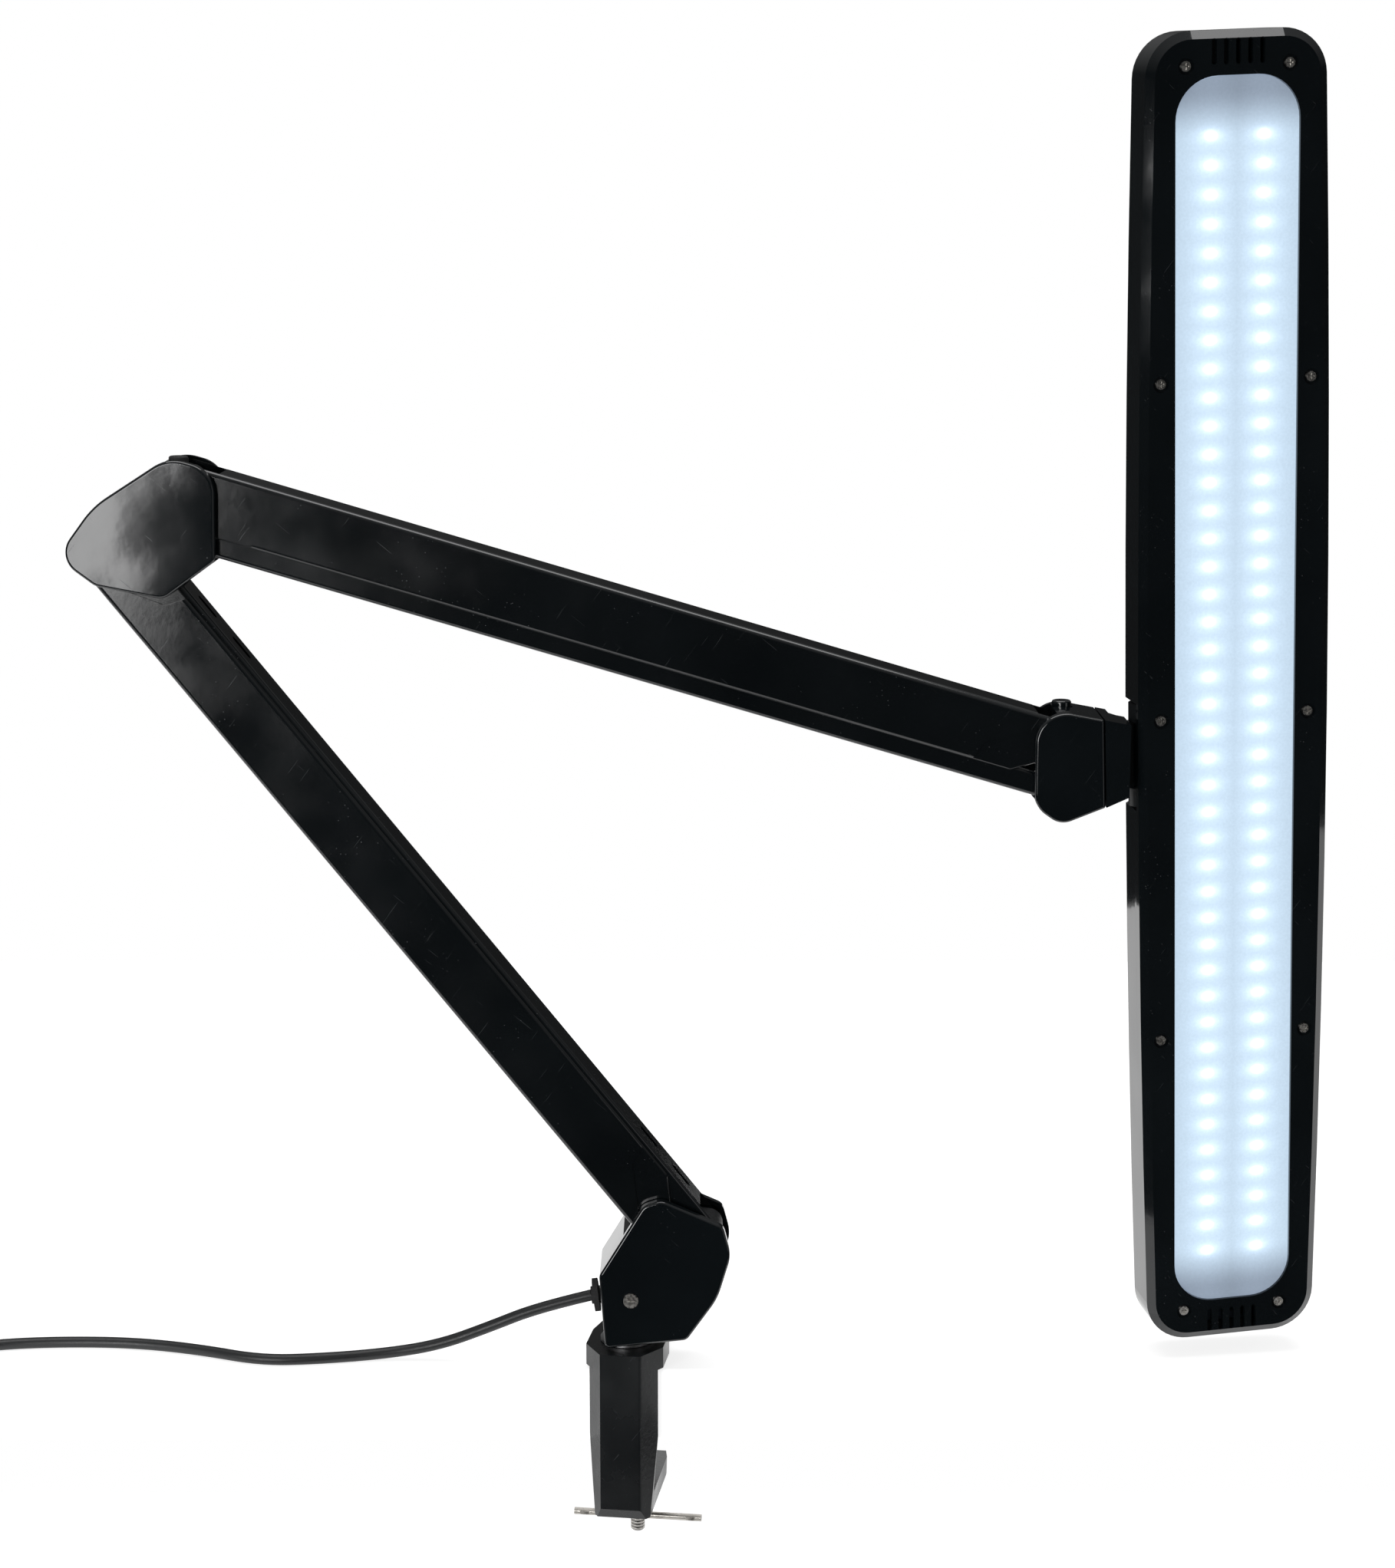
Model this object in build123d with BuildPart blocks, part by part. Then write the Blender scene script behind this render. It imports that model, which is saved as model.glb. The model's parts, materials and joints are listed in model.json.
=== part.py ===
from build123d import *
import os
from math import cos, pi, radians, sin, tan

os.makedirs("parts", exist_ok=True)

# Clamp-mounted work light: two spring-balanced parallelogram arms carry a long LED head.
# +Z is up and +X points from the clamp towards the head. The origin lies on the swivel
# axis, where the clamp's upper jaw rests on the table top. All sizes are in millimetres.

# ---------------------------------------------------------------- driving dimensions
lower_link = 376.0  # pivot to pivot
upper_link = 386.0
lower_slope = 128.6  # degrees from +X, from base to elbow
upper_slope = -16.4  # degrees from +X, from elbow to wrist
link_gap = 22.0  # between the two pivots of a pair
lower_pair = -8.0  # degrees from +X, from outer pivot to inner pivot
upper_pair = -90.0

pin_r = 3.0
running_gap = 0.05
outer_pin_reach = 15.7  # half length of a pin that also carries the covers
inner_pin_reach = 11.25

outer_width = 26.0
outer_wall = 1.4
outer_rise = 8.0  # from the pivot line to the back of the web
outer_drop = 19.0  # from the pivot line to the open edge
inner_width = 22.4
inner_wall = 1.2
inner_rise = 5.8
inner_drop = 4.5
web_start = 13.0  # the web is cut back this far from each pivot
ear_r = 6.5

block_half = 8.0  # half thickness of the three knuckle castings
bush_r = 4.5
cover_half = 18.0
cover_face = 2.2
cover_wall = 2.0
cover_mouth = 13.6  # the arms pass between the covers inside this half width

base_pin = (14.1, 65.9)
elbow_step = (36.5, 33.6)  # from the lower outer pivot to the upper outer pivot

clamp_turn = -8.0  # degrees about +Z
jaw_top = 11.0
pad_sheet = 1.5
spine_front = -21.0
spine_back = -11.0
jaw_reach = 40.0
spine_bottom = -66.0
jaw_base = -56.0
screw_y = 27.0
screw_r = 3.2
screw_tip = -41.0
screw_end = -91.0
bar_z = -84.0
bar_r = 1.6
bar_length = 59.0
press_top = -34.0
spigot_r = 6.0

neck_lean = 2.1  # degrees, the swivel axis rises towards the head
head_nod = 3.4  # degrees, the head's top leans to the front
head_pan = 9.0  # degrees, the head's right side turns to the back
tilt_axis = (223.0, 0.0, 276.3)
tilt_inset = 5.5  # from the head's left side to the tilt axis
tilt_depth = 13.0  # from the head's face to the tilt axis
tilt_drop = 16.5  # from the head's middle to the middle of the hinge

head_length = 570.0
head_width = 84.0
head_end_width = 76.0
head_corner = 19.0
bezel_depth = 9.0
head_depth = 26.0
shell = 2.0
lens_width = 53.0
lens_length = 534.0
lens_corner = 18.0
led_pitch = 11.86
leds_in_row = 42
row_offset = 11.3

cord_r = 2.5
coil_turn = 27.5  # radius to the middle of the turns
coil_layers = 3
coil_centre = (-337.0, 20.0)


# ---------------------------------------------------------------- places and planes
def step(length, angle):
    return (length * cos(radians(angle)), length * sin(radians(angle)))


def shifted(point, move):
    return (point[0] + move[0], point[1] + move[1])


def upright(y):
    """The vertical plane at this Y, seen from the front: its normal is -Y."""
    return Plane.XZ.offset(-y)


def arm_plane(pivot, angle):
    """Local x runs along an arm from its pivot, local y towards its web."""
    along = (cos(radians(angle)), 0, sin(radians(angle)))
    return Plane(origin=(pivot[0], 0, pivot[1]), x_dir=along, z_dir=(0, -1, 0))


def local_in(plane, point):
    place = plane.to_local_coords(Vector(point[0], 0, point[1]))
    return (place.X, place.Y)


base_pins = [base_pin, shifted(base_pin, step(link_gap, lower_pair))]
elbow_low = shifted(base_pin, step(lower_link, lower_slope))
elbow_high = shifted(elbow_low, elbow_step)
wrist_high = shifted(elbow_high, step(upper_link, upper_slope))
elbow_pins = [
    elbow_low,
    shifted(elbow_low, step(link_gap, lower_pair)),
    elbow_high,
    shifted(elbow_high, step(link_gap, upper_pair)),
]
wrist_pins = [wrist_high, shifted(wrist_high, step(link_gap, upper_pair))]

lower_outer = arm_plane(base_pins[0], lower_slope)
lower_inner = arm_plane(base_pins[1], lower_slope)
upper_outer = arm_plane(elbow_pins[2], upper_slope)
upper_inner = arm_plane(elbow_pins[3], upper_slope)

neck_along = Vector(cos(radians(neck_lean)), 0, sin(radians(neck_lean)))
neck_rise = Vector(-sin(radians(neck_lean)), 0, cos(radians(neck_lean)))
head_up = neck_rise * cos(radians(head_nod)) + Vector(0, -sin(radians(head_nod)), 0)
head_back = head_up.cross(neck_along)
head_right = neck_along * cos(radians(head_pan)) + head_back * sin(radians(head_pan))
head_front = neck_along * sin(radians(head_pan)) - head_back * cos(radians(head_pan))
hinge_x = -head_width / 2 + tilt_inset
head_origin = (
    Vector(*tilt_axis)
    - head_right * hinge_x
    + head_up * tilt_drop
    + head_front * tilt_depth
)
head = Plane(origin=head_origin, x_dir=head_right, z_dir=head_front)
hinge = Plane(origin=tilt_axis, x_dir=neck_along, z_dir=head_up)
neck = Plane(origin=tilt_axis, x_dir=(0, 1, 0), z_dir=neck_along)

clamp_x = (cos(radians(clamp_turn)), sin(radians(clamp_turn)), 0)
clamp_top = Plane(origin=(0, 0, 0), x_dir=clamp_x, z_dir=(0, 0, 1))
clamp_side = Plane(origin=(0, 0, 0), x_dir=clamp_top.y_dir, z_dir=clamp_x)


def keep(piece, label):
    piece.part.label = label
    export_step(piece.part, f"parts/{label}.step")


# ---------------------------------------------------------------- clamp
def side_profile():
    """The C of the clamp: local x runs to the back and local y upwards."""
    Polyline(
        (spine_front, jaw_top),
        (jaw_reach - 4, jaw_top),
        (jaw_reach, jaw_top - 4),
        (jaw_reach, pad_sheet),
        (spine_back, pad_sheet),
        (spine_back, jaw_base),
        (screw_y + 9, jaw_base),
        (screw_y + 9, spine_bottom + 3),
        (screw_y + 5, spine_bottom),
        (spine_front + 3, spine_bottom),
        (spine_front, spine_bottom + 5),
        close=True,
    )


with BuildPart() as clamp_body:
    with BuildSketch(clamp_side):
        with BuildLine():
            side_profile()
        make_face()
    extrude(amount=17.3, both=True)
    # In plan the jaws are bevelled to a narrow front and narrow towards the back.
    with BuildSketch(clamp_top.offset(spine_bottom - 5)):
        with BuildLine():
            Polyline(
                (-9, spine_front),
                (9, spine_front),
                (17.3, -8),
                (17.3, 10),
                (11, jaw_reach),
                (-11, jaw_reach),
                (-17.3, 10),
                (-17.3, -8),
                close=True,
            )
        make_face()
    extrude(amount=jaw_top - spine_bottom + 10, mode=Mode.INTERSECT)
    # The spine narrows downwards.
    with BuildSketch(Plane(origin=(0, 0, 0), x_dir=clamp_x, z_dir=-clamp_top.y_dir)):
        for side in (-1, 1):
            with BuildLine():
                Polyline(
                    (side * 17.4, -4),
                    (side * 12.4, spine_bottom - 1),
                    (side * 30, spine_bottom - 1),
                    (side * 30, -4),
                    close=True,
                )
            make_face()
    extrude(amount=80, both=True, mode=Mode.SUBTRACT)
    corners = clamp_body.edges().filter_by(Axis.Z).group_by(Axis.Y)[0]
    fillet(corners, 1.6)
    with BuildSketch(Plane.XY.offset(-10)):
        Circle(9.0)
    extrude(amount=40, mode=Mode.SUBTRACT)
    with BuildSketch(clamp_top.offset(spine_bottom - 5)):
        with Locations((0, screw_y)):
            Circle(screw_r + running_gap)
    extrude(amount=30, mode=Mode.SUBTRACT)
keep(clamp_body, "clamp_body")

with BuildPart() as clamp_jaw_pad:
    with BuildSketch(clamp_top):
        with Locations((0, 14)):
            RectangleRounded(24, 46, 4)
    extrude(amount=pad_sheet)
keep(clamp_jaw_pad, "clamp_jaw_pad")

with BuildPart() as socket_bush:
    with BuildSketch(Plane.XY.offset(pad_sheet)):
        Circle(9.0)
        Circle(spigot_r + running_gap, mode=Mode.SUBTRACT)
    extrude(amount=jaw_top - pad_sheet)
keep(socket_bush, "socket_bush")

with BuildPart() as pressure_pad:
    with BuildSketch(clamp_top.offset(press_top - 5.5)):
        with Locations((0, screw_y)):
            Circle(12.0)
    extrude(amount=4.0)
    fillet(pressure_pad.edges().group_by(Axis.Z)[0], 1.5)
    with BuildSketch(clamp_top.offset(screw_tip - 3)):
        with Locations((0, screw_y)):
            Circle(7.5)
    extrude(amount=press_top - 5.5 - screw_tip + 3)
    with BuildSketch(clamp_top.offset(screw_tip - 4)):
        with Locations((0, screw_y)):
            Circle(screw_r + running_gap)
    extrude(amount=4.3, mode=Mode.SUBTRACT)
keep(pressure_pad, "pressure_pad")

with BuildPart() as pressure_pad_face:
    with BuildSketch(clamp_top.offset(press_top - 1.5)):
        with Locations((0, screw_y)):
            Circle(11.5)
    extrude(amount=1.5)
keep(pressure_pad_face, "pressure_pad_face")

with BuildPart() as clamp_screw:
    with BuildSketch(clamp_top.offset(screw_end)):
        with Locations((0, screw_y)):
            Circle(screw_r)
    extrude(amount=screw_tip - screw_end)
    chamfer(clamp_screw.edges().group_by(Axis.Z)[0], 0.8)
    with BuildSketch(clamp_side):
        with Locations((screw_y, bar_z)):
            Circle(bar_r + running_gap)
    extrude(amount=20, both=True, mode=Mode.SUBTRACT)
keep(clamp_screw, "clamp_screw")

with BuildPart() as tommy_bar:
    with BuildSketch(clamp_side):
        with Locations((screw_y, bar_z)):
            Circle(bar_r)
    extrude(amount=bar_length / 2, both=True)
    # Both ends are pinched flat, which keeps the bar in the screw.
    with BuildSketch(clamp_top.offset(bar_z)):
        with Locations((-bar_length / 2 + 5, screw_y), (bar_length / 2 - 5, screw_y)):
            Ellipse(3.0, bar_r + 0.5)
    extrude(amount=0.7, both=True)
keep(tommy_bar, "tommy_bar")


# ---------------------------------------------------------------- channels of the arms
def channel_ends(plane, length, half, wall, rise, drop):
    """A U channel with its ends cut to ears around the pivots."""
    with BuildPart() as channel:
        with BuildSketch(plane):
            with BuildLine():
                FilletPolyline(
                    (-ear_r, rise),
                    (length + ear_r, rise),
                    (length + ear_r, -ear_r),
                    (length + 3, -ear_r),
                    (length - drop * 0.9, -drop),
                    (drop * 0.9, -drop),
                    (-3, -ear_r),
                    (-ear_r, -ear_r),
                    radius=[5, 5, 2, 2, 3, 3, 2, 2],
                    close=True,
                )
            make_face()
        extrude(amount=half, both=True)
        along = Axis(plane.origin, plane.x_dir)
        towards_web = Axis(plane.origin, plane.y_dir)
        fillet(channel.edges().filter_by(along).group_by(towards_web)[-1], wall + 0.8)
        with BuildSketch(plane):
            with Locations((length / 2, rise - wall - 40)):
                Rectangle(length + 60, 80)
            for end in (0, length):
                with Locations((end, 0)):
                    Rectangle(2 * web_start, 60)
        extrude(amount=half - wall, both=True, mode=Mode.SUBTRACT)
        with BuildSketch(plane):
            with Locations((0, 0), (length, 0)):
                Circle(pin_r + running_gap)
        extrude(amount=half + 1, both=True, mode=Mode.SUBTRACT)
    return channel


def pressed_relief(length, mirror_end):
    """A shallow triangular set-back in the side of a channel next to a cover."""
    near = length if mirror_end else 0
    way = -1 if mirror_end else 1
    FilletPolyline(
        (near - way * 12, -outer_drop - 2),
        (near + way * 35, -outer_drop - 2),
        (near + way * 31, -10),
        (near + way * 8, 4),
        (near - way * 12, 4),
        radius=[1, 1, 5, 3, 1],
        close=True,
    )


def outer_channel(plane, length, label):
    half = outer_width / 2
    with BuildPart() as channel:
        add(channel_ends(plane, length, half, outer_wall, outer_rise, outer_drop).part)
        for side in (-1, 1):
            with BuildSketch(plane.offset(side * half)):
                for end in (False, True):
                    with BuildLine():
                        pressed_relief(length, end)
                    make_face()
            extrude(amount=0.5, both=True, mode=Mode.SUBTRACT)
    keep(channel, label)


def inner_channel(plane, length, label):
    half = inner_width / 2
    with BuildPart() as channel:
        # The web of this channel faces away from the outer one.
        flipped = Plane(origin=plane.origin, x_dir=plane.x_dir, z_dir=-plane.z_dir)
        add(channel_ends(flipped, length, half, inner_wall, inner_rise, inner_drop).part)
        with BuildSketch(Plane(plane.origin, x_dir=plane.x_dir, z_dir=-plane.y_dir)):
            for place in (0.07, 0.13, 0.87, 0.93):
                with Locations((length * place, 0)):
                    SlotOverall(12, 4)
        extrude(amount=inner_rise + 2, mode=Mode.SUBTRACT)
    keep(channel, label)


outer_channel(lower_outer, lower_link, "lower_outer_channel")
inner_channel(lower_inner, lower_link, "lower_inner_channel")
outer_channel(upper_outer, upper_link, "upper_outer_channel")
inner_channel(upper_inner, upper_link, "upper_inner_channel")


# ---------------------------------------------------------------- springs in the arms
post_r = 2.0
anchor_s = 172.0
spring_start = 34.0
spring_end = 150.0


def spring(plane, post, label):
    """A close-wound tension spring with a hook at each end."""
    line = post[1]
    with BuildPart() as coil:
        cross = Plane(
            origin=plane.from_local_coords((spring_start, line, 0)),
            x_dir=plane.y_dir,
            z_dir=plane.x_dir,
        )
        with BuildSketch(cross):
            Circle(6.0)
            Circle(4.0, mode=Mode.SUBTRACT)
        extrude(amount=spring_end - spring_start)
        for end in (0, spring_end - spring_start - 2):
            with BuildSketch(cross.offset(end)):
                Circle(5.0)
            extrude(amount=2)
        for near, far in ((post[0] + 3, spring_start), (spring_end, anchor_s - 3)):
            with BuildSketch(cross.offset(near - spring_start)):
                Circle(0.8)
            extrude(amount=far - near)
        for hook in (post[0], anchor_s):
            with BuildSketch(plane.offset(-0.8)):
                with Locations((hook, line)):
                    Circle(4.0)
                    Circle(post_r + 0.4, mode=Mode.SUBTRACT)
            extrude(amount=1.6)
    keep(coil, label)


def cross_pin(plane, place, radius, reach, label):
    with BuildPart() as pin:
        with BuildSketch(plane):
            with Locations(place):
                Circle(radius)
        extrude(amount=reach, both=True)
    keep(pin, label)


def arm_cable(plane, length, label):
    with BuildPart() as cable:
        start = Plane(
            origin=plane.from_local_coords((24, -1.5, -8.2)),
            x_dir=plane.y_dir,
            z_dir=plane.x_dir,
        )
        with BuildSketch(start):
            Circle(1.4)
        extrude(amount=length - 48)
    keep(cable, label)


def between_pins(first, second, plane, line):
    """The place of a spring's post: halfway along between two pivots, on this line."""
    return ((local_in(plane, first)[0] + local_in(plane, second)[0]) / 2, line)


lower_post = between_pins(base_pins[0], base_pins[1], lower_outer, -6.2)
upper_post = between_pins(elbow_pins[2], elbow_pins[3], upper_outer, -9.5)
spring(lower_outer, lower_post, "lower_spring")
spring(upper_outer, upper_post, "upper_spring")
wall_reach = outer_width / 2 - outer_wall
cross_pin(lower_outer, (anchor_s, lower_post[1]), post_r, wall_reach, "lower_spring_anchor")
cross_pin(upper_outer, (anchor_s, upper_post[1]), post_r, wall_reach, "upper_spring_anchor")
arm_cable(lower_outer, lower_link, "lower_arm_cable")
arm_cable(upper_outer, upper_link, "upper_arm_cable")


# ---------------------------------------------------------------- knuckle castings
# The friction adjusters stand upright in the tops of the elbow and the wrist.
elbow_adjuster_line = Plane(origin=(-189.0, 5.0, 400.6))
wrist_adjuster_line = Plane(origin=(188.0, 6.0, 291.6))


def disc_cut(plane, place, radius, depth):
    with BuildSketch(plane) as disc:
        with Locations(place):
            Circle(radius)
    extrude(disc.sketch, amount=-depth, mode=Mode.SUBTRACT)


def lugs(pins, others=()):
    """The outline around the pivots, as a sketch hull."""
    for pin in pins:
        with Locations(pin):
            Circle(ear_r)
    for place, radius in others:
        with Locations(place):
            Circle(radius)
    make_hull()


def post_slot(plane, post):
    """A slot across the casting that lets a spring's hook reach its post."""
    with BuildSketch(plane) as slot:
        with Locations(shifted(post, (8, 0))):
            Rectangle(28, 9.6)
    extrude(slot.sketch, amount=1.6, both=True, mode=Mode.SUBTRACT)
    with BuildSketch(plane) as round_post:
        with Locations(post):
            Circle(post_r)
    extrude(round_post.sketch, amount=1.6, both=True)


def pin_holes(pins):
    with BuildSketch(Plane.XZ) as holes:
        with Locations(*pins):
            Circle(pin_r)
    extrude(holes.sketch, amount=block_half + 1, both=True, mode=Mode.SUBTRACT)


with BuildPart() as base_frame:
    with BuildSketch(Plane.XZ):
        lugs(base_pins, [((-1.5, 24), 6.5), ((5, 24), 6.5)])
    extrude(amount=block_half, both=True)
    pin_holes(base_pins)
    post_slot(lower_outer, lower_post)
    with BuildSketch(Plane.XY):
        Circle(spigot_r)
    extrude(amount=38, mode=Mode.SUBTRACT)
    with BuildSketch(upright(0)):
        with Locations((1.9, 35.3)):
            Circle(1.6)
    extrude(amount=block_half + 1, both=True, mode=Mode.SUBTRACT)
keep(base_frame, "base_frame")

with BuildPart() as base_spigot:
    with BuildSketch(Plane.XY.offset(pad_sheet + 1)):
        Circle(spigot_r)
    extrude(amount=38 - pad_sheet - 1)
    chamfer(base_spigot.edges().group_by(Axis.Z)[0], 0.8)
    with BuildSketch(upright(0)):
        with Locations((1.9, 35.3)):
            Circle(1.6)
    extrude(amount=20, both=True, mode=Mode.SUBTRACT)
keep(base_spigot, "base_spigot")

with BuildPart() as base_collar:
    with BuildSketch(Plane.XY.offset(jaw_top + 0.3)):
        Circle(12.0)
        Circle(spigot_r, mode=Mode.SUBTRACT)
    extrude(amount=1.4)
keep(base_collar, "base_collar")

with BuildPart() as elbow_frame:
    with BuildSketch(Plane.XZ):
        lugs(elbow_pins)
    extrude(amount=block_half, both=True)
    pin_holes(elbow_pins)
    post_slot(upper_outer, upper_post)
    disc_cut(elbow_adjuster_line.offset(6), (0, 0), 1.5, 14)
keep(elbow_frame, "elbow_frame")

spigot_line = Plane(origin=tilt_axis, x_dir=(0, 1, 0), z_dir=-neck_along)
with BuildPart() as wrist_frame:
    with BuildSketch(Plane.XZ):
        lugs(wrist_pins, [((197, 281), 4.0), ((197, 269), 4.0)])
    extrude(amount=block_half, both=True)
    pin_holes(wrist_pins)
    with BuildSketch(spigot_line.offset(15)):
        Circle(5 + running_gap)
    extrude(amount=18, mode=Mode.SUBTRACT)
    disc_cut(wrist_adjuster_line.offset(2), (0, 0), 1.5, 5.8)
keep(wrist_frame, "wrist_frame")


def pivot_pins(outer, inner, label):
    with BuildPart() as pins:
        for places, reach in ((outer, outer_pin_reach), (inner, inner_pin_reach)):
            with BuildSketch(Plane.XZ):
                with Locations(*places):
                    Circle(pin_r)
            extrude(amount=reach, both=True)
    keep(pins, label)


def pivot_bushes(outer, inner, label):
    """Spacers on the pins that keep each channel clear of the casting."""
    outer_length = outer_width / 2 - outer_wall - block_half - 0.3
    inner_length = inner_width / 2 - inner_wall - block_half - 0.3
    with BuildPart() as bushes:
        for places, length in ((outer, outer_length), (inner, inner_length)):
            for y, way in ((-block_half, 1), (block_half, -1)):
                with BuildSketch(upright(y)):
                    with Locations(*places):
                        Circle(bush_r)
                        Circle(pin_r, mode=Mode.SUBTRACT)
                extrude(amount=way * length)
    keep(bushes, label)


pivot_pins(base_pins[:1], base_pins[1:], "base_pivot_pins")
pivot_bushes(base_pins[:1], base_pins[1:], "base_bushes")
pivot_pins(elbow_pins[0::2], elbow_pins[1::2], "elbow_pivot_pins")
pivot_bushes(elbow_pins[0::2], elbow_pins[1::2], "elbow_bushes")
pivot_pins(wrist_pins[:1], wrist_pins[1:], "wrist_pivot_pins")
pivot_bushes(wrist_pins[:1], wrist_pins[1:], "wrist_bushes")


# ---------------------------------------------------------------- knuckle covers
def base_outline():
    FilletPolyline(
        (-12.0, 46.5),
        (7.5, 78.5),
        (15.5, 81.0),
        (42.5, 69.0),
        (46.0, 56.0),
        (40.0, 36.0),
        (26.5, 17.0),
        (-9.5, 13.2),
        radius=[4, 6, 6, 5, 16, 30, 4, 2],
        close=True,
    )


def elbow_outline():
    FilletPolyline(
        (-190.0, 404.5),
        (-170.6, 399.0),
        (-171.4, 361.0),
        (-193.5, 345.0),
        (-222.0, 350.5),
        (-238.0, 362.5),
        (-222.0, 384.0),
        radius=[16, 13, 3, 7, 8, 10, 40],
        close=True,
    )


def wrist_outline():
    FilletPolyline(
        (174.8, 299.0),
        (204.2 - 0.66, 293.6),
        (204.2 + 0.73, 255.6),
        (186.0, 248.0),
        (174.8, 256.0),
        radius=[13, 0.8, 0.8, 9, 11],
        close=True,
    )


def base_mouth():
    Polyline((-20, 64), (1, 64), (6, 51), (60, 51), (60, 95), (-20, 95), close=True)


def elbow_mouth():
    Polyline((-245, 362), (-187.5, 410), (-150, 410), (-150, 330), (-245, 330), close=True)


def wrist_mouth():
    Polyline((165, 310), (184, 310), (184, 280), (192, 272), (192, 238), (165, 238), close=True)


def cover_shell(outline, mouth):
    """The front half of a cover: a face with a wall that reaches the middle plane."""
    with BuildPart() as half:
        with BuildSketch(upright(-cover_half)):
            with BuildLine():
                outline()
            make_face()
        extrude(amount=-cover_half)
        fillet(half.faces().sort_by(Axis.Y)[0].edges(), 1.2)
        with BuildSketch(upright(-cover_half + cover_face)):
            with BuildLine():
                outline()
            make_face()
            offset(amount=-cover_wall, mode=Mode.REPLACE)
        extrude(amount=-cover_half, mode=Mode.SUBTRACT)
        with BuildSketch(upright(-cover_mouth)):
            with BuildLine():
                mouth()
            make_face()
        extrude(amount=-cover_half, mode=Mode.SUBTRACT)
    return half


base_screw = (1.9, 35.3)
screw_recess_r = 3.6
gland_z = 32.5
gland_line = Plane(origin=(-8.0, 0, gland_z), x_dir=(0, 1, 0), z_dir=(-1, 0, -0.12))
front_face = upright(-cover_half)
back_face = Plane(origin=(0, cover_half, 0), x_dir=(1, 0, 0), z_dir=(0, 1, 0))


def back_place(point):
    """The same point seen on the back face, whose local y points down."""
    return (point[0], -point[1])


base_half = cover_shell(base_outline, base_mouth)
with BuildPart() as base_front_cover:
    add(base_half.part)
    disc_cut(front_face, base_screw, screw_recess_r, 1.0)
    disc_cut(front_face, base_screw, 1.6, 4)
    disc_cut(gland_line.offset(10), (0, 0), 4.0, 16)
    disc_cut(Plane.XY.offset(30), (0, 0), 12.3, 20)
keep(base_front_cover, "base_front_cover")

with BuildPart() as base_rear_cover:
    add(mirror(base_half.part, about=Plane.XZ))
    for place in (base_screw, base_pins[0]):
        disc_cut(back_face, back_place(place), screw_recess_r, 1.0)
        disc_cut(back_face, back_place(place), 1.6, 4)
    disc_cut(gland_line.offset(10), (0, 0), 4.0, 16)
    disc_cut(Plane.XY.offset(30), (0, 0), 12.3, 20)
keep(base_rear_cover, "base_rear_cover")

elbow_half = cover_shell(elbow_outline, elbow_mouth)
with BuildPart() as elbow_front_cover:
    add(elbow_half.part)
keep(elbow_front_cover, "elbow_front_cover")

with BuildPart() as elbow_rear_cover:
    add(mirror(elbow_half.part, about=Plane.XZ))
    disc_cut(elbow_adjuster_line.offset(10), (0, 0), 4.9, 10)
    for place in (elbow_pins[0], elbow_pins[2]):
        disc_cut(back_face, back_place(place), screw_recess_r, 1.0)
        disc_cut(back_face, back_place(place), 1.6, 4)
keep(elbow_rear_cover, "elbow_rear_cover")

wrist_half = cover_shell(wrist_outline, wrist_mouth)
with BuildPart() as wrist_front_cover:
    add(wrist_half.part)
    disc_cut(spigot_line.offset(10), (0, 0), 6.0, -20)
keep(wrist_front_cover, "wrist_front_cover")

with BuildPart() as wrist_rear_cover:
    add(mirror(wrist_half.part, about=Plane.XZ))
    disc_cut(wrist_adjuster_line.offset(10), (0, 0), 4.9, 10)
    disc_cut(spigot_line.offset(10), (0, 0), 6.0, -20)
    disc_cut(back_face, back_place(wrist_pins[0]), screw_recess_r, 1.0)
    disc_cut(back_face, back_place(wrist_pins[0]), 1.6, 4)
keep(wrist_rear_cover, "wrist_rear_cover")


def adjuster(line, height, label):
    """A slotted round head on a shank that pinches the casting on its pivot."""
    with BuildPart() as screw:
        with BuildSketch(line):
            Circle(4.2)
        extrude(amount=height)
        fillet(screw.edges().group_by(Axis.Z)[-1], 1.0)
        with BuildSketch(line.offset(height)):
            Rectangle(10, 1.2)
        extrude(amount=-1.2, mode=Mode.SUBTRACT)
        with BuildSketch(line):
            Circle(1.5)
        extrude(amount=-3.6)
    keep(screw, label)


adjuster(elbow_adjuster_line, 3.0, "elbow_adjuster")
adjuster(wrist_adjuster_line, 7.0, "wrist_adjuster")


def cover_screw(face, place, length):
    """A cross-head screw: domed head in the recess, shank through the cover."""
    with BuildSketch(face.offset(-1.0)) as screw_head:
        with Locations(place):
            Circle(3.3)
    extrude(screw_head.sketch, amount=1.2)
    with BuildSketch(face.offset(-1.0)) as shank:
        with Locations(place):
            Circle(1.5)
    extrude(shank.sketch, amount=-length)
    with BuildSketch(face.offset(0.2)) as cross:
        with Locations(place):
            Rectangle(3.6, 0.7)
            Rectangle(0.7, 3.6)
    extrude(cross.sketch, amount=-0.6, mode=Mode.SUBTRACT)


with BuildPart() as base_cover_screws:
    cover_screw(front_face, base_screw, 12)
    cover_screw(back_face, back_place(base_screw), 12)
    cover_screw(back_face, back_place(base_pins[0]), 1.2)
keep(base_cover_screws, "base_cover_screws")

with BuildPart() as elbow_cover_screws:
    cover_screw(back_face, back_place(elbow_pins[0]), 1.2)
    cover_screw(back_face, back_place(elbow_pins[2]), 1.2)
keep(elbow_cover_screws, "elbow_cover_screws")

with BuildPart() as wrist_cover_screw:
    cover_screw(back_face, back_place(wrist_pins[0]), 1.2)
keep(wrist_cover_screw, "wrist_cover_screw")


# ---------------------------------------------------------------- neck
def outline_height(x):
    """Top and bottom of the neck, which carries on the lines of the wrist cover."""
    share = (x - 204.2) / (217.0 - 204.2)
    return (293.6 - 2.6 * share, 255.6 + 5.4 * share)


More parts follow.
